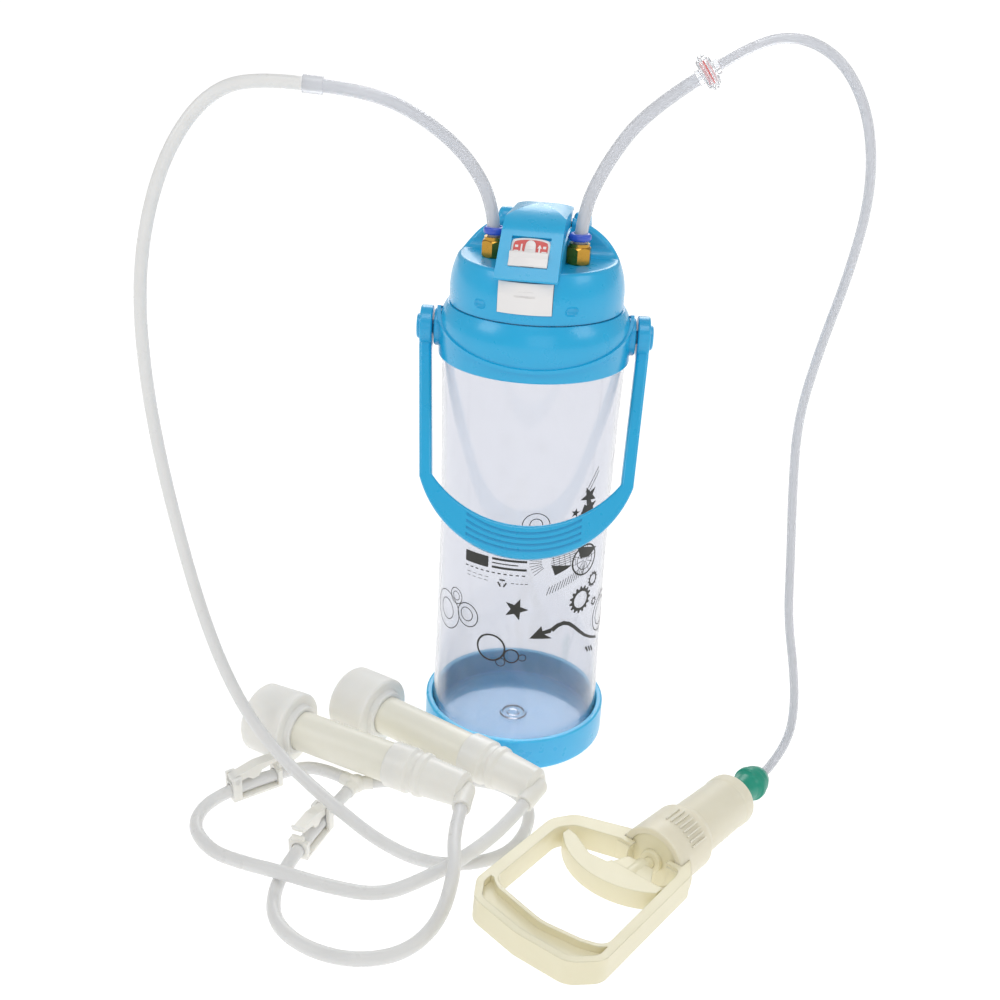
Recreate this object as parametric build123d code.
from build123d import *
import os
from math import atan2, cos, degrees, pi, radians, sin, sqrt, tan

# Hand milking machine: a clear three-litre collecting bottle with a carrying lid, two brass
# push-in fittings, a vacuum hose with a check valve and a squeeze pump, and a milk hose that
# splits at a Y connector into two pinch-clamped branches, each with a teat cup.
# Millimetres, +Z up. The origin is the centre of the base cup's underside. The front is -Y.

# ---------------------------------------------------------------- driving dimensions
FIT = 0.3            # gap between curved faces of different bodies
RUNNING = 0.05       # radial clearance of a shaft in its bore
SEAT = 0.1           # clearance of a piece seated in another

BASE_R, BASE_H, BASE_FLOOR, FOOT_PAD_R, FOOT_RECESS = 64.0, 24.0, 4.0, 18.0, 1.5
BODY_FOOT_R, BODY_WAIST_R, BODY_TOP_R = 59.4, 57.2, 60.0
BODY_WAIST_Z, BODY_SHOULDER_Z, BODY_WALL = 140.0, 297.0, 2.2
NECK_R, NECK_TOP_Z, NECK_WALL = 46.5, 331.0, 2.6
THREAD_DEPTH, THREAD_PITCH, THREADS = 1.0, 4.5, 4

COLLAR_R, COLLAR_LOW_Z, COLLAR_TOP_Z, COLLAR_TOP_R = 61.5, 279.4, 313.4, 56.4
RIDGE_TILT, RIDGE_FRONT_Z, RIDGE_H, RIDGE_OUT = 18.0, 287.5, 2.2, 1.3
BOSS_R, BOSS_X = 12.0, 64.2

PIVOT_Z, PIN_R, PIN_HEAD_R, PIN_HEAD_T = 294.5, 4.5, 8.0, 2.0
EAR_IN_X, EAR_T, EAR_R = 65.2, 8.0, 13.5
HANDLE_TILT = 30.6
HANDLE_DROP, GRIP_WIDTH, HANDLE_DEPTH, ARM_WIDTH = 136.2, 21.0, 12.0, 7.8
ARM_END_X, ARM_END_S = 63.6, 98.0
GROOVES, GROOVE_PITCH, GROOVE_W, GROOVE_DEEP, GROOVE_SPAN = 4, 3.6, 1.5, 0.8, 72.0

LID_TURN = -7.5
LID_WALL = 2.4
DOME = [(55.2, 314.0), (55.2, 322.0), (54.6, 330.0), (52.3, 339.0), (48.4, 347.2),
        (42.6, 354.6), (34.4, 361.0), (25.0, 365.4), (12.0, 368.6), (0.0, 369.4)]
SADDLE = [(55.2, 314.0), (55.2, 322.0), (54.6, 330.0), (52.3, 339.0), (47.8, 347.0),
          (41.0, 353.4), (32.0, 358.0), (15.0, 362.6), (0.0, 364.0)]
FLAT_Z, FLAT_REAR_Y, FLAT_COVE_R, FLAT_EDGE_R = 344.0, 9.0, 7.0, 3.0
HINGE_Y, HINGE_Z, HINGE_R, HINGE_PIN_R, HINGE_ROOM = 19.0, 361.0, 9.0, 2.0, 1.6
LID_EAR_IN, LID_EAR_T, LID_EAR_R, CAP_SWING_R = 18.4, 11.0, 8.0, 15.0
CAP_FRONT_W, CAP_REAR_W, CAP_CROWN_R = 38.2, 35.6, 38.0
SPOUT_Y, SPOUT_R, SPOUT_BORE_R, SPOUT_TOP_Z = -10.0, 6.5, 4.0, 365.6
SEAL_R, SEAL_T, SEAL_SEAT_Z = 8.5, 2.6, 368.6
SPOUT_ROOM_X, SPOUT_ROOM_Y = 12.0, (-24.0, 6.0)
CAP_LIP = (-55.4, 339.9)
SLOPE_LOW, SLOPE_HIGH = (-56.0, 341.0), (-36.2, 363.5)
CAP_CROWN, CAP_TOP = (-20.0, 373.2), (0.0, 376.5)
LOCK_W, LOCK_L, LOCK_CENTRE, LOCK_DEEP = 23.6, 20.4, 18.7, 1.8
LABEL_T, SLIDER_L, SLIDER_T = 0.8, 9.4, 2.6
BUTTON_W, BUTTON_LOW_Z, BUTTON_H, BUTTON_R, BUTTON_T = 33.0, 320.2, 18.6, 55.9, 2.6
DIMPLE_ANGLE, DIMPLE_Z, DIMPLE_R, DIMPLE_L, DIMPLE_DEEP = 30.5, 322.4, 3.4, 3.2, 1.7

LINER_T, LINER_GAP, GASKET_T = 2.6, 0.5, 2.4
FITTING_X, FITTING_Y = 26.3, -14.0
HEX_AF, HEX_H, FITTING_NECK_R, FITTING_NECK_H = 14.0, 10.5, 6.3, 2.0
SHANK_R, SHANK_LOW_Z, SHANK_BORE_R, NUT_H = 4.8, 322.0, 2.6, 5.0
HOSE_R, HOSE_BORE_R, HOSE_STOP_Z = 4.0, 2.6, 347.0
PUSH_RING_R, PUSH_RING_H, PUSH_STROKE = 7.0, 4.6, 1.2

SILICONE_R, BRANCH_R, SILICONE_BORE_R = 4.0, 4.2, 2.4
THIN_R, THIN_BORE_R = 3.0, 1.6

VALVE_CENTRE, VALVE_RISE, VALVE_R, VALVE_T = (91.3, -15.0, 458.2), 34.8, 10.8, 8.0
VALVE_NECK_R, VALVE_NECK_L, VALVE_NIPPLE_L, VALVE_WEB = 4.6, 3.0, 9.0, 1.4

PUMP_AT, PUMP_TURN, PUMP_TILT = (87.5, -177.5, 23.9), 232.0, 3.8
SLEEVE_R, SLEEVE_L, BARREL_R, BARREL_L, BARREL_BORE_R = 21.5, 38.0, 17.2, 95.0, 14.6
BARREL_END_WALL, SLEEVE_RIBS, DISH_R, DISH_DEEP = 3.0, 8, 17.0, 4.0
NOZZLE_NECK_R, NOZZLE_RING_R, NOZZLE_L, NOZZLE_SPIGOT_R = 8.6, 11.2, 38.0, 6.0
PISTON_X, PISTON_L, SEAL_RING_W, ROD_R = -84.0, 12.0, 3.0, 3.4
BUSH_R, BUSH_FLANGE_R, BUSH_OUT = 5.6, 7.2, 2.2
FRAME_H, FRAME_WALL, GRIP_POCKET = 15.0, 2.4, 4.5
FINGER_H = 12.0

CUP_L, HEAD_L, HEAD_R, SHELL_R, SHELL_WALL, SHELL_END = 164.0, 32.0, 24.5, 13.3, 1.5, 118.0
MOUTH_R, LINER_R, TAIL_START, TAIL_WALL = 9.8, 11.4, 108.0, 1.8
ELBOW_R, ELBOW_L = 6.0, 7.0
CUP_AXIS_Z = 24.7
CUPS = [((-175.2, -51.3), (0.903, -0.430), (-0.12, -0.99, -0.04)),
        ((-117.4, -22.0), (0.831, -0.557), (-0.50, -0.85, -0.16))]

CLAMP_L, CLAMP_W, CLAMP_FLOOR, CLAMP_WALL, CLAMP_AXIS_Z = 35.0, 13.0, 1.8, 3.0, 6.4
CLAMP_PIVOT_X, CLAMP_PIVOT_Z, CLAMP_PIN_R, CLAMP_OPEN = -14.5, 8.6, 1.5, 12.0
CLAMP_EAR, CLAMP_TOP_Z, CLAMP_HEEL = 2.4, 6.0, 3.3
CLAMPS = [((-168.5, -101.5), 218.0, 180.0), ((-121.8, -149.8), 252.0, 0.0)]

Y_AT, Y_R, Y_HUB_R, Y_ARM = (-101.5, -97.0, 6.4), 4.6, 6.2, 11.0
Y_ANGLES = [12.0, 150.0, 245.6]
JOINER_LOW, JOINER_R, JOINER_L, JOINER_AXIS = (-131.0, -19.5, 440.6), 5.2, 12.0, (-1.0, -0.05, 0.07)

# ---------------------------------------------------------------- hose routes, end to end
FITTING_LEFT = (-27.9, -10.4)
FITTING_RIGHT = (24.2, -17.3)


def unit(vector):
    """Unit vector as a tuple."""
    length = sqrt(sum(v * v for v in vector))
    return tuple(v / length for v in vector)


def along(start, direction, distance):
    """The point at a distance from a start along a direction."""
    return tuple(s + d * distance for s, d in zip(start, unit(direction)))


VALVE_AXIS = (cos(radians(VALVE_RISE)), 0.0, sin(radians(VALVE_RISE)))
VALVE_REACH = VALVE_T / 2 + VALVE_NECK_L
VALVE_IN = along(VALVE_CENTRE, VALVE_AXIS, -VALVE_REACH)
VALVE_OUT = along(VALVE_CENTRE, VALVE_AXIS, VALVE_REACH)
PUMP_BACK = (cos(radians(PUMP_TURN)) * cos(radians(PUMP_TILT)),
             sin(radians(PUMP_TURN)) * cos(radians(PUMP_TILT)), sin(radians(PUMP_TILT)))
NOZZLE_TIP = along(PUMP_AT, PUMP_BACK, -(BARREL_L + NOZZLE_L))
JOINER_END = along(JOINER_LOW, JOINER_AXIS, JOINER_L)


def y_point(port, distance):
    """A point straight out of one of the Y connector's ports."""
    angle = radians(Y_ANGLES[port])
    return along(Y_AT, (cos(angle), sin(angle), 0.0), distance)


def cup_end(cup):
    """Centre of a teat cup's tail end."""
    mouth, axis, _ = cup
    return along((*mouth, CUP_AXIS_Z), (*axis, 0.0), CUP_L)


def elbow_tip(cup):
    """Where the branch hose meets a teat cup's elbow."""
    return along(cup_end(cup), cup[2], SHELL_R - 3.0 + ELBOW_L)


CUP_TIPS = [elbow_tip(cup) for cup in CUPS]

MILK_CLEAR = [(*FITTING_LEFT, HOSE_STOP_Z), (-27.9, -10.4, 372.5), (-44.0, -12.0, 402.0),
              (-71.0, -15.0, 424.5), along(JOINER_LOW, JOINER_AXIS, -28.0), JOINER_LOW]
VACUUM_UPPER = [(*FITTING_RIGHT, HOSE_STOP_Z), (24.2, -17.3, 373.0), (36.0, -16.0, 403.0),
                along(VALVE_IN, VALVE_AXIS, -34.0), VALVE_IN]
VACUUM_LOWER = [VALVE_OUT, along(VALVE_OUT, VALVE_AXIS, 24.0), (142.0, -15.0, 480.5), (168.0, -16.0, 468.0),
                (187.0, -17.0, 438.0), (194.5, -18.0, 396.0), (189.0, -18.5, 348.0),
                (178.0, -19.5, 300.0), (170.5, -20.0, 252.0), (174.0, -20.0, 204.0),
                (179.0, -22.0, 156.0), (182.5, -26.0, 112.0), (190.5, -30.0, 76.0),
                (194.5, -34.5, 48.0), (191.5, -45.0, 27.5), along(NOZZLE_TIP, PUMP_BACK, -11.0),
                NOZZLE_TIP]
MILK_SILICONE = [JOINER_END, along(JOINER_END, JOINER_AXIS, 30.0), (-199.0, -24.0, 433.0),
                 (-221.0, -28.0, 404.5), (-236.0, -33.0, 364.0), (-242.5, -39.0, 318.0),
                 (-240.0, -46.0, 268.0), (-232.0, -54.0, 218.0), (-221.0, -61.0, 168.0),
                 (-207.5, -69.0, 118.0), (-191.0, -79.0, 76.0), (-169.0, -93.5, 45.0),
                 (-140.0, -118.0, 31.0), (-106.0, -148.5, 25.5), (-77.0, -162.0, 12.0),
                 (-49.0, -168.5, SILICONE_R), (-21.0, -167.5, SILICONE_R),
                 (2.0, -155.5, SILICONE_R), (13.5, -131.5, SILICONE_R),
                 (14.5, -106.0, SILICONE_R), (-1.0, -87.5, SILICONE_R),
                 (-26.0, -81.5, SILICONE_R), y_point(0, 46.0), y_point(0, Y_ARM)]
CLAMP_IN, CLAMP_OUT = -CLAMP_L / 2 - 12.0, CLAMP_L / 2 + 12.0


def clamp_point(clamp, x):
    """A point on a clamp's hose axis, x along the clamp."""
    (cx, cy), turn, _ = clamp
    return (cx + x * cos(radians(turn)), cy + x * sin(radians(turn)), CLAMP_AXIS_Z)


BRANCH_1 = [y_point(1, Y_ARM), y_point(1, 28.0), clamp_point(CLAMPS[0], CLAMP_IN),
            clamp_point(CLAMPS[0], CLAMP_OUT), (-199.0, -146.0, BRANCH_R),
            (-181.0, -170.0, BRANCH_R), (-157.0, -185.5, 10.0), (-131.5, -198.0, 15.6),
            (-103.0, -206.0, 14.4), (-72.0, -203.5, 7.0), (-46.0, -191.5, 12.0),
            (-22.0, -170.0, 13.4), along(CUP_TIPS[1], CUPS[1][2], 22.0), CUP_TIPS[1]]
BRANCH_2 = [y_point(2, Y_ARM), clamp_point(CLAMPS[1], CLAMP_IN), clamp_point(CLAMPS[1], CLAMP_OUT),
            (-135.0, -204.0, BRANCH_R), (-129.0, -228.0, BRANCH_R), (-108.0, -246.0, BRANCH_R),
            (-79.0, -253.0, BRANCH_R), (-51.0, -244.0, BRANCH_R), (-34.0, -221.0, 9.0),
            (-28.5, -193.0, 22.8), along(CUP_TIPS[0], CUPS[0][2], 26.0), CUP_TIPS[0]]


# ---------------------------------------------------------------- helpers
def lathe(profile, axis=Axis.Z):
    """Solid of revolution about Z from (radius, height) points."""
    return revolve(Plane.XZ * make_face(Polyline(*profile, close=True)), axis)


def spin_x(profile):
    """Solid of revolution about X from (x, radius) points."""
    return revolve(Plane.XZ * make_face(Polyline(*profile, close=True)), Axis.X)


def rod_x(radius, low, high):
    """Cylinder along X between two x values."""
    return Pos((low + high) / 2, 0, 0) * Rot(0, 90, 0) * Cylinder(radius, high - low)


def tube_x(outer, inner, low, high):
    """Tube along X between two x values."""
    return rod_x(outer, low, high) - rod_x(inner, low - 1, high + 1)


def rod_z(radius, low, high):
    """Cylinder along Z between two heights."""
    return Pos(0, 0, (low + high) / 2) * Cylinder(radius, high - low)


def block(x0, x1, y0, y1, z0, z1):
    """Box between two corners."""
    return Pos((x0 + x1) / 2, (y0 + y1) / 2, (z0 + z1) / 2) * Box(x1 - x0, y1 - y0, z1 - z0)


def turned(shape):
    """A lid piece from the lid's own axes to the object's."""
    return Rot(0, 0, LID_TURN) * shape


def corner_radii(points):
    """Largest tangent-arc radius that each corner's two runs allow."""
    vectors = [Vector(*b) - Vector(*a) for a, b in zip(points, points[1:])]
    radii = []
    for first, second in zip(vectors, vectors[1:]):
        half = radians(first.get_angle(second) / 2)
        radii.append(0.45 * min(first.length, second.length) / tan(half))
    return radii


def hose(name, points, outer, bore):
    """Hose along straight runs joined by tangent arcs."""
    radii = corner_radii(points)
    path = FilletPolyline(*points, radius=radii)
    start = Plane(origin=path @ 0, z_dir=path % 0)
    solid = sweep(start * Circle(outer), path=path) - sweep(start * Circle(bore), path=path)
    expected = pi * (outer ** 2 - bore ** 2) * path.length
    print(name, "length", round(path.length, 1), "radii", [round(r, 1) for r in radii],
          "volume/expected", round(solid.volume / expected, 4))
    return solid


# ---------------------------------------------------------------- bottle
def body_outline(inset):
    """Clear body's side from foot to shoulder, moved inwards by inset."""
    foot = (BODY_FOOT_R - inset, BASE_FLOOR + inset)
    waist = (BODY_WAIST_R - inset, BODY_WAIST_Z)
    shoulder = (BODY_TOP_R - inset, BODY_SHOULDER_Z - inset)
    return ThreePointArc(foot, waist, shoulder)


def bottle_core(inset, neck, top_z):
    """Solid of the bottle's shape, moved inwards by inset, with its neck's radius."""
    side = body_outline(inset)
    foot, shoulder = side @ 0, side @ 1
    lower = Polyline((0, foot.Y), (foot.X, foot.Y))
    upper = Polyline((shoulder.X, shoulder.Y), (neck, BODY_SHOULDER_Z + 10 - inset), (neck, top_z),
                     (0, top_z), (0, foot.Y))
    return revolve(Plane.XZ * make_face(lower + side + upper), Axis.Z)


def bottle_body():
    """Clear waisted bottle with a threaded neck."""
    body = bottle_core(0.0, NECK_R, NECK_TOP_Z)
    body -= bottle_core(BODY_WALL, NECK_R - NECK_WALL, NECK_TOP_Z + 1)
    for turn in range(THREADS):
        z = BODY_SHOULDER_Z + 15 + turn * THREAD_PITCH
        rib = [(NECK_R - 0.5, z - 0.9), (NECK_R + THREAD_DEPTH, z), (NECK_R - 0.5, z + 0.9)]
        body += lathe(rib)
    return body


def base_cup():
    """Blue cup under the bottle, with a recessed foot."""
    inner = BODY_FOOT_R + SEAT
    shell = lathe([(0, 0), (FOOT_PAD_R, 0), (FOOT_PAD_R + 2, FOOT_RECESS), (BASE_R - 8, FOOT_RECESS),
                   (BASE_R - 6, 0), (BASE_R - 3, 0), (BASE_R, 3),
                   (BASE_R, BASE_H - 1), (BASE_R - 1, BASE_H), (inner + 0.6, BASE_H),
                   (inner, BASE_H - 0.8), (inner, BASE_FLOOR), (0, BASE_FLOOR)])
    return shell


def shoulder_collar():
    """Blue shoulder collar with the handle's bosses and its raised ridges."""
    inner = BODY_TOP_R + SEAT
    outer = Polyline((inner, COLLAR_LOW_Z), (COLLAR_R - 0.6, COLLAR_LOW_Z),
                     (COLLAR_R, COLLAR_LOW_Z + 0.8), (COLLAR_R, COLLAR_LOW_Z + 17))
    cap = ThreePointArc((COLLAR_R, COLLAR_LOW_Z + 17), (COLLAR_R - 1.3, COLLAR_TOP_Z - 7.5),
                        (COLLAR_TOP_R, COLLAR_TOP_Z))
    back = Polyline((COLLAR_TOP_R, COLLAR_TOP_Z), (NECK_R + 2.5, COLLAR_TOP_Z),
                    (NECK_R + 2.5, BODY_SHOULDER_Z + 11), (inner, BODY_SHOULDER_Z + 0.5),
                    (inner, COLLAR_LOW_Z))
    collar = revolve(Plane.XZ * make_face(outer + cap + back), Axis.Z)
    collar += smile_ridge(1) + smile_ridge(-1)
    for side in (-1, 1):
        boss = Rot(0, 90, 0) * Cylinder(BOSS_R, BOSS_X - 52)
        boss = fillet(boss.edges().sort_by(Axis.X)[-1 if side > 0 else 0], 1.2)
        collar += Pos(side * (BOSS_X + 52) / 2, 0, PIVOT_Z) * boss
    collar -= bottle_core(-SEAT, NECK_R + THREAD_DEPTH + FIT, COLLAR_TOP_Z + 1)
    for side in (-1, 1):
        collar -= Pos(0, 0, PIVOT_Z) * rod_x(PIN_R, *sorted((side * 61.0, side * 80.0)))
    return collar


def smile_ridge(side):
    """Raised line that hangs from boss to boss across the front or the back."""
    ring = rod_z(COLLAR_R + RIDGE_OUT, COLLAR_LOW_Z + 2, COLLAR_LOW_Z + 30)
    ring -= rod_z(COLLAR_R - 1, COLLAR_LOW_Z, COLLAR_LOW_Z + 40)
    half = Pos(0, -side * 50, 300) * Box(200, 100, 100)
    tilted = Pos(0, -side * COLLAR_R, RIDGE_FRONT_Z) * Rot(side * RIDGE_TILT, 0, 0)
    slab = tilted * Box(300, 300, RIDGE_H)
    return ring & half & slab


def handle_pin(side):
    """Pivot pin that holds one handle ear to its boss."""
    head_x = EAR_IN_X + EAR_T + FIT
    pin = rod_x(PIN_R, 61.0, head_x) + rod_x(PIN_HEAD_R, head_x, head_x + PIN_HEAD_T)
    pin = chamfer(pin.edges().sort_by(Axis.X)[-1], 0.8)
    return Pos(0, 0, PIVOT_Z) * (pin if side > 0 else mirror(pin, about=Plane.YZ))


def handle_face():
    """Flat outline of the handle: x across, y down from the pivot."""
    half = ARM_WIDTH / 2
    top_in, top_out = EAR_IN_X, EAR_IN_X + EAR_T
    low_in, low_out = ARM_END_X - half, ARM_END_X + half
    drop_in, drop_out = HANDLE_DROP - GRIP_WIDTH / 2, HANDLE_DROP + GRIP_WIDTH / 2
    right = Polyline((top_in, 0), (top_out, 0), (top_out, -14), (low_out, -ARM_END_S))
    outer = ThreePointArc((low_out, -ARM_END_S), (0, -drop_out), (-low_out, -ARM_END_S))
    left = Polyline((-low_out, -ARM_END_S), (-top_out, -14), (-top_out, 0), (-top_in, 0),
                    (-top_in, -14), (-low_in, -ARM_END_S + 2))
    inner = ThreePointArc((-low_in, -ARM_END_S + 2), (0, -drop_in), (low_in, -ARM_END_S + 2))
    last = Polyline((low_in, -ARM_END_S + 2), (top_in, -14), (top_in, 0))
    return make_face(right + outer + left + inner + last)


def carry_handle():
    """U-shaped carrying handle with a grooved grip, tilted forward."""
    flat = extrude(handle_face(), HANDLE_DEPTH / 2, both=True)
    long_edges = [e for e in flat.edges() if abs(abs(e.center().Z) - HANDLE_DEPTH / 2) < 0.1
                  and e.center().Y < -5]
    flat = fillet(long_edges, 2.2)
    centre_y = grip_centre()
    for index in range(GROOVES):
        radius = HANDLE_DROP + (index - (GROOVES - 1) / 2) * GROOVE_PITCH + centre_y
        ring = Cylinder(radius + GROOVE_W / 2, 4) - Cylinder(radius - GROOVE_W / 2, 4)
        wedge = Pos(0, -60, 0) * Box(GROOVE_SPAN, 120, 10)
        flat -= Pos(0, centre_y, HANDLE_DEPTH / 2 + 2 - GROOVE_DEEP) * (ring & wedge)
    handle = Rot(90, 0, 0) * flat
    for side in (-1, 1):
        ear = Rot(0, 90, 0) * Cylinder(EAR_R, EAR_T)
        ear = fillet(ear.edges().filter_by(GeomType.CIRCLE), 1.2)
        handle += Pos(side * (EAR_IN_X + EAR_T / 2), 0, 0) * ear
    handle -= rod_x(PIN_R + RUNNING, -90, 90)
    return Pos(0, 0, PIVOT_Z) * Rot(-HANDLE_TILT, 0, 0) * handle


def grip_centre():
    """Centre of the grip's arc, below the pivot as a negative y."""
    sagitta = HANDLE_DROP - ARM_END_S
    radius = (ARM_END_X ** 2 + sagitta ** 2) / (2 * sagitta)
    return radius - HANDLE_DROP


# ---------------------------------------------------------------- lid
def dome_solid(profile, inset):
    """Solid dome from a (radius, height) profile, moved inwards by inset."""
    low = [(r - inset, z) for r, z in profile[:2]]
    curve = Spline(*[(max(r - inset, 0), z - inset * (1 - r / profile[0][0])) for r, z in profile[1:]],
                   tangents=[(0, 1), (-1, 0)])
    start, end = curve @ 0, curve @ 1
    floor_z = profile[0][1]
    lines = Polyline((end.X, end.Y), (0, floor_z), (low[0][0], floor_z), (start.X, start.Y))
    return revolve(Plane.XZ * make_face(curve + lines), Axis.Z)


def fitting_pocket(grow):
    """The space over the flats on both sides of the flip cap."""
    depth = 90.0
    inner = CAP_FRONT_W / 2 - grow
    pocket = None
    for side in (-1, 1):
        space = block(inner, inner + 60, FLAT_REAR_Y + grow - depth, FLAT_REAR_Y + grow,
                      FLAT_Z - grow, FLAT_Z + 60)
        foot = [e for e in space.edges().filter_by(Axis.X) if e.center().Z < FLAT_Z + 1]
        space = fillet(ShapeList(foot).sort_by(Axis.Y)[-1], FLAT_COVE_R)
        space = space if side > 0 else mirror(space, about=Plane.YZ)
        pocket = space if pocket is None else pocket + space
    return pocket


def cap_channel():
    """The space that the flip cap fills and swings through, above the saddle."""
    half = CAP_FRONT_W / 2
    channel = block(-half, half, -60, FLAT_REAR_Y, FLAT_Z - 10, FLAT_Z + 60)
    channel += block(-LID_EAR_IN, LID_EAR_IN, 0, HINGE_Y, FLAT_Z - 10, FLAT_Z + 60)
    channel += Pos(0, HINGE_Y, HINGE_Z) * rod_x(CAP_SWING_R, -LID_EAR_IN, LID_EAR_IN)
    return channel - dome_solid(SADDLE, 0.0)


def flat_edges(shell):
    """Outer edges of the two flats, where they meet the dome."""
    level = [e for e in shell.edges() if e.bounding_box().size.Z < 0.01 and e.geom_type != GeomType.LINE]
    return [e for e in level if abs(e.center().Z - FLAT_Z) < 0.01 and e.length > 30]


def lid_shell():
    """Blue domed lid with two flats, hinge ears, spout hole and button window."""
    outer = dome_solid(DOME, 0.0) - fitting_pocket(0.0)
    outer = fillet(flat_edges(outer), FLAT_EDGE_R) - cap_channel()
    inner = dome_solid(SADDLE, LID_WALL) - fitting_pocket(LID_WALL)
    inner &= block(-90, 90, -90, 90, 0, SADDLE[-1][1] - LID_WALL)
    shell = outer - Pos(0, 0, -0.01) * inner
    for side in (-1, 1):
        ear = Rot(0, 90, 0) * Cylinder(LID_EAR_R, LID_EAR_T)
        ear = fillet(ear.edges().filter_by(GeomType.CIRCLE), 3.2)
        shell += Pos(side * (LID_EAR_IN + LID_EAR_T / 2), HINGE_Y, HINGE_Z) * ear
    knuckle = rod_x(HINGE_R + HINGE_ROOM, -LID_EAR_IN, LID_EAR_IN)
    shell -= Pos(0, HINGE_Y, HINGE_Z) * knuckle
    shell -= Pos(0, HINGE_Y, HINGE_Z) * rod_x(HINGE_PIN_R, -30, 30)
    shell -= Pos(0, SPOUT_Y, 0) * rod_z(SPOUT_R, 340, 380)
    for side in (-1, 1):
        shell -= Pos(side * FITTING_X, FITTING_Y, 0) * rod_z(SHANK_R, 335, 350)
        shell -= dimple(side)
    half = BUTTON_W / 2 + FIT
    shell -= block(-half, half, -70, -47, BUTTON_LOW_Z - FIT, BUTTON_LOW_Z + BUTTON_H + FIT)
    return turned(shell)


def dimple(side):
    """Oval dimple in the lid's skirt."""
    out = DOME[0][0] + DIMPLE_R - DIMPLE_DEEP
    half = DIMPLE_L / 2
    cutter = rod_x(DIMPLE_R, -half, half) + Pos(half, 0, 0) * Sphere(DIMPLE_R)
    cutter += Pos(-half, 0, 0) * Sphere(DIMPLE_R)
    return Rot(0, 0, side * DIMPLE_ANGLE) * Pos(0, -out, DIMPLE_Z) * cutter


def lid_liner():
    """White threaded liner inside the lid."""
    inner, outer = NECK_R + THREAD_DEPTH + LINER_GAP, NECK_R + THREAD_DEPTH + LINER_GAP + LINER_T
    disc_z = NECK_TOP_Z + GASKET_T
    liner = lathe([(inner, 315), (outer, 315), (outer, disc_z + 1.4), (outer - 1.2, disc_z + LINER_T),
                   (0, disc_z + LINER_T), (0, disc_z), (inner, disc_z)])
    liner -= Pos(0, SPOUT_Y, 0) * rod_z(SPOUT_R, 325, 340)
    for side in (-1, 1):
        liner -= Pos(side * FITTING_X, FITTING_Y, 0) * rod_z(SHANK_R, 325, 340)
    return turned(liner)


def lid_gasket():
    """Flat sealing ring between the neck and the liner."""
    outer = NECK_R + 0.8
    return lathe([(outer - 5, NECK_TOP_Z), (outer, NECK_TOP_Z),
                  (outer, NECK_TOP_Z + GASKET_T), (outer - 5, NECK_TOP_Z + GASKET_T)])


def spout():
    """White drinking spout, through the lid and the liner."""
    low = NECK_TOP_Z + GASKET_T - 3
    tube = rod_z(SPOUT_R, low, SPOUT_TOP_Z) - rod_z(SPOUT_BORE_R, low - 1, SPOUT_TOP_Z + 1)
    tube = fillet(tube.edges().sort_by(Axis.Z)[-2:], 1.0)
    return turned(Pos(0, SPOUT_Y, 0) * tube)


def cap_outline():
    """Side outline of the flip cap: x is the lid's y, y is height."""
    rear = (HINGE_Y + HINGE_R, HINGE_Z)
    front = Polyline((CAP_LIP[0] + 4, CAP_LIP[1]), CAP_LIP, SLOPE_LOW, SLOPE_HIGH)
    rise = radians(slope_angle())
    crown = Spline(SLOPE_HIGH, CAP_CROWN, CAP_TOP, tangents=[(cos(rise), sin(rise)), (1, 0)])
    top = (HINGE_Y + HINGE_R * cos(radians(62)), HINGE_Z + HINGE_R * sin(radians(62)))
    back = ThreePointArc(CAP_TOP, (13.5, 373.6), top)
    knuckle = ThreePointArc(top, (HINGE_Y + HINGE_R * cos(radians(30)),
                                  HINGE_Z + HINGE_R * sin(radians(30))), rear)
    under = Polyline(rear, (HINGE_Y, HINGE_Z - HINGE_R), (HINGE_Y, 350), (-46, CAP_LIP[1]),
                     (CAP_LIP[0] + 4, CAP_LIP[1]))
    return make_face(front + crown + back + knuckle + under)


def flip_cap():
    """Blue flip cap that covers the spout, with its lock recess."""
    side = extrude(Plane.YZ * cap_outline(), 40, both=True)
    half_front, half_rear = CAP_FRONT_W / 2, CAP_REAR_W / 2
    plan = make_face(Polyline((-half_front, -56), (half_front, -56), (half_rear, 10),
                              (half_rear, 40), (-half_rear, 40), (-half_rear, 10), close=True))
    cap = side & extrude(Pos(0, 0, 330) * plan, 60)
    cap &= Pos(0, 0, CAP_TOP[1] - CAP_CROWN_R) * Rot(90, 0, 0) * Cylinder(CAP_CROWN_R, 200)
    cap -= Pos(0, 0, FIT) * dome_solid(SADDLE, -FIT)
    cap -= block(-SPOUT_ROOM_X, SPOUT_ROOM_X, *SPOUT_ROOM_Y, 340, SEAL_SEAT_Z)
    knuckle = LID_EAR_IN - FIT
    cap += Pos(0, HINGE_Y, HINGE_Z) * rod_x(HINGE_R, -knuckle, knuckle)
    cap -= Pos(0, HINGE_Y, HINGE_Z) * rod_x(HINGE_PIN_R + RUNNING, -30, 30)
    cap -= on_slope(LOCK_CENTRE) * Box(LOCK_W, LOCK_L, 2 * LOCK_DEEP)
    return turned(cap)


def slope_angle():
    """Angle of the cap's front slope above the horizontal."""
    return degrees(atan2(SLOPE_HIGH[1] - SLOPE_LOW[1], SLOPE_HIGH[0] - SLOPE_LOW[0]))


def on_slope(distance, lift=0.0):
    """Axes on the cap's front slope: y up the slope, z out of it."""
    angle = radians(slope_angle())
    y = SLOPE_LOW[0] + distance * cos(angle) - lift * sin(angle)
    z = SLOPE_LOW[1] + distance * sin(angle) + lift * cos(angle)
    return Pos(0, y, z) * Rot(degrees(angle), 0, 0)


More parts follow.
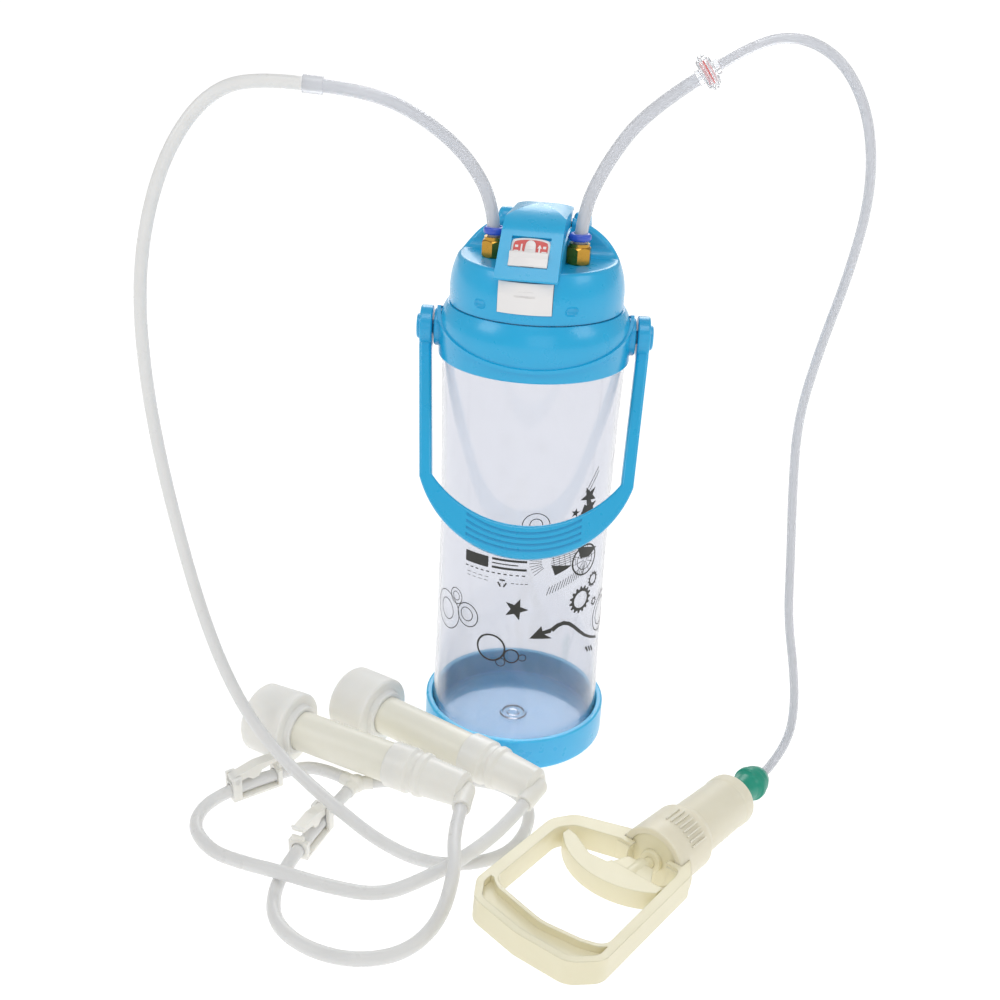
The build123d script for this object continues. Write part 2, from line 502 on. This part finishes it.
def cap_lock_plate():
    """White plate on the floor of the lock recess, with a raised rim at the top."""
    plate = Box(LOCK_W - 2 * SEAT, LOCK_L - 2 * SEAT, LABEL_T)
    return turned(on_slope(LOCK_CENTRE, LABEL_T / 2 - LOCK_DEEP) * plate)


def cap_lock_slider():
    """White lock slider with a cross ridge and a rounded tongue."""
    body = Box(LOCK_W - 2 * FIT, SLIDER_L, SLIDER_T)
    body = fillet(body.edges().filter_by(Axis.Z), 1.0)
    ridge = Pos(0, SLIDER_L / 2 - 2.2, SLIDER_T / 2) * Rot(0, 90, 0) * Cylinder(1.3, LOCK_W - 2)
    body += ridge & block(-20, 20, -20, 20, 0, 20)
    bottom = LABEL_T + SEAT - LOCK_DEEP
    centre = LOCK_CENTRE - LOCK_L / 2 + SLIDER_L / 2 + FIT
    return turned(on_slope(centre, bottom + SLIDER_T / 2) * body)


def spout_seal():
    """Soft pad under the cap that closes the spout."""
    pad = rod_z(SEAL_R, SEAL_SEAT_Z - SEAL_T, SEAL_SEAT_Z)
    return turned(Pos(0, SPOUT_Y, 0) * pad)


def hinge_pin():
    """Steel pin through the lid's ears and the cap's knuckle."""
    reach = LID_EAR_IN + LID_EAR_T - 0.6
    return turned(Pos(0, HINGE_Y, HINGE_Z) * rod_x(HINGE_PIN_R, -reach, reach))


def release_button():
    """White curved release button with two finger grips."""
    half = BUTTON_W / 2
    top_z = BUTTON_LOW_Z + BUTTON_H
    ring = lathe([(BUTTON_R - BUTTON_T, BUTTON_LOW_Z), (BUTTON_R, BUTTON_LOW_Z),
                  (BUTTON_R - 0.2, top_z - 7), (BUTTON_R - 1.6, top_z),
                  (BUTTON_R - 1.6 - BUTTON_T, top_z), (BUTTON_R - 0.2 - BUTTON_T, top_z - 7)])
    plate = ring & block(-half, half, -70, -40, BUTTON_LOW_Z, top_z)
    for index in range(2):
        z = top_z - 4.6 - 3.2 * index
        groove = Pos(0, -BUTTON_R, z) * extrude(Plane.XZ * SlotOverall(13, 1.3), 0.9, both=True)
        plate -= groove
    return turned(plate)


def fitting_body(side):
    """Brass push-in fitting: hexagon, neck and threaded shank."""
    hexagon = Rot(0, 0, 30) * extrude(RegularPolygon(HEX_AF / 2, 6, major_radius=False), HEX_H)
    cone = lathe([(0, 0), (HEX_AF / 2 - 0.2, 0), (HEX_AF / 2 + 1.1, 1.3), (HEX_AF / 2 + 1.1, HEX_H - 1.3),
                  (HEX_AF / 2 - 0.2, HEX_H), (0, HEX_H)])
    body = Pos(0, 0, FLAT_Z) * (hexagon & cone)
    top = FLAT_Z + HEX_H + FITTING_NECK_H
    body += rod_z(FITTING_NECK_R, FLAT_Z + HEX_H - 1, top)
    body += rod_z(SHANK_R, SHANK_LOW_Z, FLAT_Z + 1)
    body -= rod_z(HOSE_R + SEAT / 2, HOSE_STOP_Z, top + 1)
    body -= rod_z(SHANK_BORE_R, SHANK_LOW_Z - 1, HOSE_STOP_Z + 1)
    return turned(Pos(side * FITTING_X, FITTING_Y, 0) * body)


def fitting_nut(side):
    """Brass locknut under the liner."""
    top = NECK_TOP_Z + GASKET_T
    nut = extrude(RegularPolygon(HEX_AF / 2, 6, major_radius=False), NUT_H) - Cylinder(SHANK_R, 40)
    return turned(Pos(side * FITTING_X, FITTING_Y, top - NUT_H) * nut)


def release_collar(side):
    """Blue push ring around the hose on top of a fitting."""
    low = FLAT_Z + HEX_H + FITTING_NECK_H + PUSH_STROKE + 0.2
    ring = rod_z(PUSH_RING_R, low, low + PUSH_RING_H)
    ring = fillet(ring.edges().filter_by(GeomType.CIRCLE), 1.9)
    ring -= rod_z(HOSE_R + FIT, low - 1, low + PUSH_RING_H + 1)
    return turned(Pos(side * FITTING_X, FITTING_Y, 0) * ring)


# ---------------------------------------------------------------- vacuum line
def at_valve(shape):
    """A piece from the check valve's own axes, X along the flow, to the object's."""
    return Pos(*VALVE_CENTRE) * Rot(0, -VALVE_RISE, 0) * shape


def valve_half(side):
    """Clear half of the disc check valve with its hose nipple."""
    edge, neck = VALVE_T / 2, VALVE_REACH
    tip = neck + VALVE_NIPPLE_L
    nipple = {-1: HOSE_BORE_R, 1: THIN_BORE_R}[side]
    half = spin_x([(0.35, VALVE_R - 3), (0.35, VALVE_R), (1.2, VALVE_R), (edge, VALVE_R - 2.5),
                   (edge, VALVE_NECK_R), (neck, VALVE_NECK_R), (neck, nipple - 0.02),
                   (tip, nipple - 0.02), (tip, nipple / 2), (edge - VALVE_WEB, nipple / 2),
                   (edge - VALVE_WEB, VALVE_R - 3)])
    return at_valve(half if side > 0 else mirror(half, about=Plane.YZ))


def valve_diaphragm():
    """Red flap disc that lets air pass one way only."""
    return at_valve(rod_x(VALVE_R - 3.4, -0.9, 0.3))


# ---------------------------------------------------------------- pump
def at_pump(shape):
    """A piece from the pump's own axes, X along the rod to the grip, to the object's."""
    return Pos(*PUMP_AT) * Rot(0, 0, PUMP_TURN) * Rot(0, -PUMP_TILT, 0) * shape


def pump_barrel():
    """Translucent pump barrel with its wider rear sleeve and fine ribs."""
    front = -BARREL_L
    barrel = spin_x([(front, NOZZLE_SPIGOT_R), (front, BARREL_R - 2.5), (front + 2.5, BARREL_R),
                     (-SLEEVE_L, BARREL_R), (-SLEEVE_L + 3, SLEEVE_R - 0.6), (-SLEEVE_L + 4, SLEEVE_R),
                     (0, SLEEVE_R), (0, DISH_R), (-DISH_DEEP, DISH_R), (-DISH_DEEP, BARREL_BORE_R),
                     (front + BARREL_END_WALL, BARREL_BORE_R), (front + BARREL_END_WALL, NOZZLE_SPIGOT_R)])
    for index in range(SLEEVE_RIBS):
        angle = (index - (SLEEVE_RIBS - 1) / 2) * 9 + 65
        for half_turn in (0, 180):
            rib = Pos(-SLEEVE_L / 2 - 4, 0, SLEEVE_R) * Box(12, 1.2, 1.0)
            barrel += Rot(angle + half_turn, 0, 0) * rib
    return at_pump(barrel)


def pump_nozzle():
    """Green rubber nozzle with its ring and domed tip."""
    front = -BARREL_L
    tip = front - NOZZLE_L
    outline = [(front + BARREL_END_WALL, THIN_R), (front + BARREL_END_WALL, NOZZLE_SPIGOT_R),
               (front, NOZZLE_SPIGOT_R), (front, NOZZLE_NECK_R + 0.6), (front - 3, NOZZLE_NECK_R),
               (front - 13, NOZZLE_NECK_R - 0.7), (front - 19, NOZZLE_NECK_R + 0.2),
               (front - 22, NOZZLE_RING_R - 0.6), (front - 23, NOZZLE_RING_R), (front - 25.5, NOZZLE_RING_R),
               (front - 26.5, NOZZLE_RING_R - 1.2), (front - 31, NOZZLE_RING_R - 1.8),
               (front - 35, NOZZLE_RING_R - 4.0), (tip + 0.6, NOZZLE_RING_R - 6.4), (tip, THIN_R + 0.8),
               (tip, THIN_R)]
    return at_pump(spin_x(outline))


def pump_flap_valve():
    """Flap over the nozzle's inner mouth."""
    low = -BARREL_L + BARREL_END_WALL
    return at_pump(rod_x(NOZZLE_SPIGOT_R + 2, low, low + 1.2))


def frame_loop():
    """Outer and inner outlines of the grip frame, seen from above."""
    outer = FilletPolyline((-9, 21), (3, 29), (98, 35), (113, 22), (115, -12), (110, -46), (96, -56),
                           (20, -62), (5, -54), (-9, -21), close=True,
                           radius=[5, 10, 12, 14, 30, 12, 12, 16, 14, 8])
    inner = FilletPolyline((4, 21), (10, 23), (88, 28.5), (93, 16), (97, -8), (91, -42), (86, -49),
                           (24, -54), (14, -48), (4, -20), close=True,
                           radius=[4, 10, 8, 12, 30, 8, 8, 14, 12, 4])
    return make_face(outer), make_face(inner)


def pump_frame():
    """Cream grip frame with the barrel's rear plate."""
    outer, inner = frame_loop()
    ring = extrude(outer - inner, FRAME_H / 2, both=True)
    ring -= rod_x(SLEEVE_R + SEAT, -40, FIT)
    ring -= rod_x(DISH_R - 3, -40, 12)
    pocket_face = offset(outer, -FRAME_WALL - 2.2) - offset(inner, FRAME_WALL)
    pocket = extrude(pocket_face & (Pos(130, -10) * Rectangle(84, 130)), GRIP_POCKET)
    for side in (1, -1):
        lift = Pos(0, 0, FRAME_H / 2 - GRIP_POCKET) if side > 0 else Pos(0, 0, -FRAME_H / 2)
        ring -= lift * pocket
    plate = rod_x(DISH_R, -DISH_DEEP, -1.0)
    bridge = block(-1.0, 5, -SLEEVE_R - 5, SLEEVE_R + 6, -FRAME_H / 2 + 2, FRAME_H / 2 - 2)
    bridge &= rod_x(SLEEVE_R + 6, -1.0, 5) - rod_x(DISH_R - 3, -2, 6)
    bridge -= tube_x(SLEEVE_R + SEAT, DISH_R - 0.5, -2, SEAT)
    frame = ring + plate + bridge
    frame -= rod_x(BUSH_R, -20, 20)
    return at_pump(frame)


def pump_rod_bush():
    """Guide bush for the rod, flanged outside the rear plate."""
    bush = rod_x(BUSH_R, -DISH_DEEP, -1.0) + rod_x(BUSH_FLANGE_R, -1.0, BUSH_OUT)
    bush = fillet(bush.edges().sort_by(Axis.X)[-1], 0.8)
    bush -= rod_x(ROD_R + RUNNING, -20, 20)
    return at_pump(bush)


def pump_rod():
    """Piston rod."""
    return at_pump(rod_x(ROD_R, PISTON_X + PISTON_L - 3, 26))


def pump_piston():
    """Piston head with its seal groove."""
    end = PISTON_X + PISTON_L
    outer, groove = BARREL_BORE_R - FIT, BARREL_BORE_R - 3
    middle = PISTON_X + PISTON_L / 2
    piston = spin_x([(PISTON_X, 0), (PISTON_X, outer), (middle - SEAL_RING_W / 2, outer),
                     (middle - SEAL_RING_W / 2, groove), (middle + SEAL_RING_W / 2, groove),
                     (middle + SEAL_RING_W / 2, outer), (end, outer), (end, 0)])
    return at_pump(piston - rod_x(ROD_R, end - 3, end + 1))


def piston_seal():
    """Rubber ring in the piston's groove."""
    middle = PISTON_X + PISTON_L / 2
    return at_pump(tube_x(BARREL_BORE_R - RUNNING, BARREL_BORE_R - 3, middle - SEAL_RING_W / 2,
                          middle + SEAL_RING_W / 2))


def finger_pull():
    """Bowed finger bar with the web that joins it to the rod."""
    outer = ThreePointArc((24, -49), (43, -10), (30, 22.5))
    inner = Polyline((30, 22.5), (23.5, 22.5), (24, 15), (12, 8.5), (12, -8.5), (27, -14),
                     (28.5, -26), (20, -42), (18.5, -49), (24, -49))
    bar = extrude(make_face(outer + inner), FINGER_H / 2, both=True)
    bar = fillet(bar.edges().filter_by(Axis.Z).sort_by(SortBy.LENGTH)[-6:], 1.2)
    bar &= Pos(30, 0, 0) * Box(60, 120, FINGER_H)
    waist = block(8, 24, -20, 20, FINGER_H / 2 - 1, 20) + block(8, 24, -20, 20, -20, 1 - FINGER_H / 2)
    hub = rod_x(ROD_R + 2.4, 9.0, 24)
    return at_pump((bar - waist + hub) - rod_x(ROD_R, 0, 26))


# ---------------------------------------------------------------- milk line
def hose_joiner():
    """Clear sleeve that joins the two milk hoses."""
    sleeve = rod_z(JOINER_R, 0, JOINER_L) - rod_z(SILICONE_BORE_R, -1, JOINER_L + 1)
    return Plane(origin=JOINER_LOW, z_dir=JOINER_AXIS) * sleeve


def y_connector():
    """White Y connector with three hose ports."""
    hub = Sphere(Y_HUB_R)
    arms, bores = None, None
    for angle in Y_ANGLES:
        arm = Rot(0, 0, angle) * rod_x(Y_R, 0, Y_ARM)
        bore = Rot(0, 0, angle) * rod_x(SILICONE_BORE_R, 0, Y_ARM + 1)
        arms = arm if arms is None else arms + arm
        bores = bore if bores is None else bores + bore
    return Pos(*Y_AT) * (hub + arms - bores)


def at_clamp(index, shape):
    """A piece from a clamp's own axes, X along the hose, to the object's."""
    (x, y), turn, flip = CLAMPS[index]
    return Pos(x, y, CLAMP_AXIS_Z) * Rot(0, 0, turn + flip) * shape


def clamp_base(index):
    """Pinch clamp base: tray, two end walls, pivot ears and a latch."""
    half, wide = CLAMP_L / 2, CLAMP_W / 2
    floor = -CLAMP_AXIS_Z + 0.2
    base = block(-half, half, -wide, wide, floor, floor + CLAMP_FLOOR)
    base += block(-half, -half + CLAMP_WALL, -wide, wide, floor, CLAMP_PIVOT_Z - CLAMP_HEEL)
    base += block(half - CLAMP_WALL, half, -wide, wide, floor, CLAMP_TOP_Z)
    ears = block(CLAMP_PIVOT_X - 3, CLAMP_PIVOT_X + 3, -wide, wide, floor, CLAMP_PIVOT_Z + 2.6)
    gap = wide - CLAMP_EAR
    ears -= block(CLAMP_PIVOT_X - 4, CLAMP_PIVOT_X + 4, -gap, gap, floor, 20)
    base += ears
    latch = Polyline((half - CLAMP_WALL, CLAMP_TOP_Z), (half, CLAMP_TOP_Z), (half + 1.5, 9.6),
                     (half - 1.0, 10.4), (half - 2.0, 9.2), (half - 1.4, 7.6), close=True)
    base += extrude(Plane.XZ * make_face(latch), 4.0, both=True)
    base -= rod_x(BRANCH_R + FIT, -half - 1, half + 1)
    base -= Pos(CLAMP_PIVOT_X, 0, CLAMP_PIVOT_Z) * Rot(90, 0, 0) * Cylinder(CLAMP_PIN_R, 40)
    return at_clamp(index, base)


def clamp_lever(index):
    """Pinch clamp lever: an arched strap with a blunt tooth, standing open."""
    half, wide = CLAMP_L / 2, CLAMP_W / 2 - CLAMP_EAR - FIT
    reach = half - CLAMP_PIVOT_X - 0.5
    strap = Polyline((-2.6, -2.4), (8, -2.4), (11, -5.6), (15.5, -5.6), (18.5, -2.4), (reach, -2.0),
                     (reach + 2.6, 1.6), (reach + 1.6, 2.6), (reach - 1, 0.6), (16, 3.4), (4, 2.8),
                     (-2.6, 2.4), close=True)
    lever = extrude(Plane.XZ * make_face(strap), wide, both=True)
    lever -= Rot(90, 0, 0) * Cylinder(CLAMP_PIN_R + RUNNING, 40)
    lever = Rot(0, -CLAMP_OPEN, 0) * lever
    return at_clamp(index, Pos(CLAMP_PIVOT_X, 0, CLAMP_PIVOT_Z) * lever)


def clamp_pin(index):
    """Pin that the lever turns on."""
    pin = Rot(90, 0, 0) * Cylinder(CLAMP_PIN_R, CLAMP_W)
    return at_clamp(index, Pos(CLAMP_PIVOT_X, 0, CLAMP_PIVOT_Z) * pin)


# ---------------------------------------------------------------- teat cups
def at_cup(index, shape):
    """A piece from a cup's own axes, X from mouth to tail, to the object's."""
    mouth, axis, _ = CUPS[index]
    return Pos(*mouth, CUP_AXIS_Z) * Rot(0, 0, degrees(atan2(axis[1], axis[0]))) * shape


def cup_mouthpiece(index):
    """Soft silicone mouthpiece around the head."""
    neck = SHELL_R + SEAT
    return at_cup(index, spin_x([(0, LINER_R + 3), (1.2, HEAD_R - 2.6), (3.5, HEAD_R - 1.0),
                                 (8, HEAD_R - 0.4), (HEAD_L - 3, HEAD_R), (HEAD_L - 1, HEAD_R - 0.8),
                                 (HEAD_L, HEAD_R - 2.5), (HEAD_L, 16.4), (HEAD_L + 4, 15.6),
                                 (HEAD_L + 4, neck), (6, neck), (6, LINER_R), (3, LINER_R)]))


def cup_shell(index):
    """Rigid cream tube of a teat cup."""
    return at_cup(index, tube_x(SHELL_R, SHELL_R - SHELL_WALL, 6, SHELL_END))


def cup_liner(index):
    """Soft liner tube that takes the teat."""
    return at_cup(index, tube_x(LINER_R - SEAT, MOUTH_R, 3.0, TAIL_START + 6))


def cup_tail(index):
    """Ridged tail cap with its elbow nipple."""
    end, bore = CUP_L, SHELL_R - SHELL_WALL - 0.6
    sleeve = SHELL_R + TAIL_WALL
    tail = spin_x([(TAIL_START, SHELL_R), (TAIL_START, sleeve - 0.6), (TAIL_START + 1, sleeve),
                   (124, sleeve), (126, sleeve - 1.4), (129, sleeve - 1.6), (131, sleeve - 0.4),
                   (134, sleeve - 0.6), (136, sleeve - 2.0), (150, sleeve - 2.8),
                   (end - 2.5, sleeve - 3.6), (end, sleeve - 6.5), (end, 0), (end - 6, 0),
                   (end - 6, bore - 3.5), (SHELL_END, bore), (SHELL_END, SHELL_R)])
    turn = degrees(atan2(CUPS[index][1][1], CUPS[index][1][0]))
    direction = Vector(*unit(CUPS[index][2])).rotate(Axis.Z, -turn)
    reach = SHELL_R - 3.0 + ELBOW_L
    stub = Pos(0, 0, reach / 2) * Cylinder(ELBOW_R, reach)
    hole = Pos(0, 0, reach / 2 + 2) * Cylinder(SILICONE_BORE_R, reach)
    elbow = Plane(origin=(end, 0, 0), z_dir=direction)
    knee = Pos(end, 0, 0) * Sphere(ELBOW_R)
    return at_cup(index, tail + knee + elbow * stub - elbow * hole)


def parts():
    """Every sub-part by node name."""
    made = {
        "bottle_body": bottle_body(),
        "base_cup": base_cup(),
        "shoulder_collar": shoulder_collar(),
        "carry_handle": carry_handle(),
        "lid_shell": lid_shell(),
        "lid_liner": lid_liner(),
        "lid_gasket": lid_gasket(),
        "spout": spout(),
        "flip_cap": flip_cap(),
        "spout_seal": spout_seal(),
        "hinge_pin": hinge_pin(),
        "cap_lock_plate": cap_lock_plate(),
        "cap_lock_slider": cap_lock_slider(),
        "release_button": release_button(),
        "valve_inlet_half": valve_half(-1),
        "valve_outlet_half": valve_half(1),
        "valve_diaphragm": valve_diaphragm(),
        "pump_barrel": pump_barrel(),
        "pump_nozzle": pump_nozzle(),
        "pump_flap_valve": pump_flap_valve(),
        "pump_frame": pump_frame(),
        "pump_rod_bush": pump_rod_bush(),
        "pump_rod": pump_rod(),
        "pump_piston": pump_piston(),
        "piston_seal": piston_seal(),
        "finger_pull": finger_pull(),
        "hose_joiner": hose_joiner(),
        "y_connector": y_connector(),
        "milk_hose_clear": hose("milk_hose_clear", MILK_CLEAR, HOSE_R, HOSE_BORE_R),
        "milk_hose_silicone": hose("milk_hose_silicone", MILK_SILICONE, SILICONE_R, SILICONE_BORE_R),
        "vacuum_hose_upper": hose("vacuum_hose_upper", VACUUM_UPPER, HOSE_R, HOSE_BORE_R),
        "vacuum_hose_lower": hose("vacuum_hose_lower", VACUUM_LOWER, THIN_R, THIN_BORE_R),
        "branch_hose_1": hose("branch_hose_1", BRANCH_1, BRANCH_R, SILICONE_BORE_R),
        "branch_hose_2": hose("branch_hose_2", BRANCH_2, BRANCH_R, SILICONE_BORE_R),
    }
    for name, side in (("left", -1), ("right", 1)):
        made[f"handle_pin_{name}"] = handle_pin(side)
        made[f"fitting_body_{name}"] = fitting_body(side)
        made[f"fitting_nut_{name}"] = fitting_nut(side)
        made[f"release_collar_{name}"] = release_collar(side)
    for index in (0, 1):
        made[f"clamp_{index + 1}_base"] = clamp_base(index)
        made[f"clamp_{index + 1}_lever"] = clamp_lever(index)
        made[f"clamp_{index + 1}_pin"] = clamp_pin(index)
        made[f"cup_{index + 1}_mouthpiece"] = cup_mouthpiece(index)
        made[f"cup_{index + 1}_shell"] = cup_shell(index)
        made[f"cup_{index + 1}_liner"] = cup_liner(index)
        made[f"cup_{index + 1}_tail"] = cup_tail(index)
    return made


os.makedirs("parts", exist_ok=True)
for node, shape in parts().items():
    export_step(shape, f"parts/{node}.step")
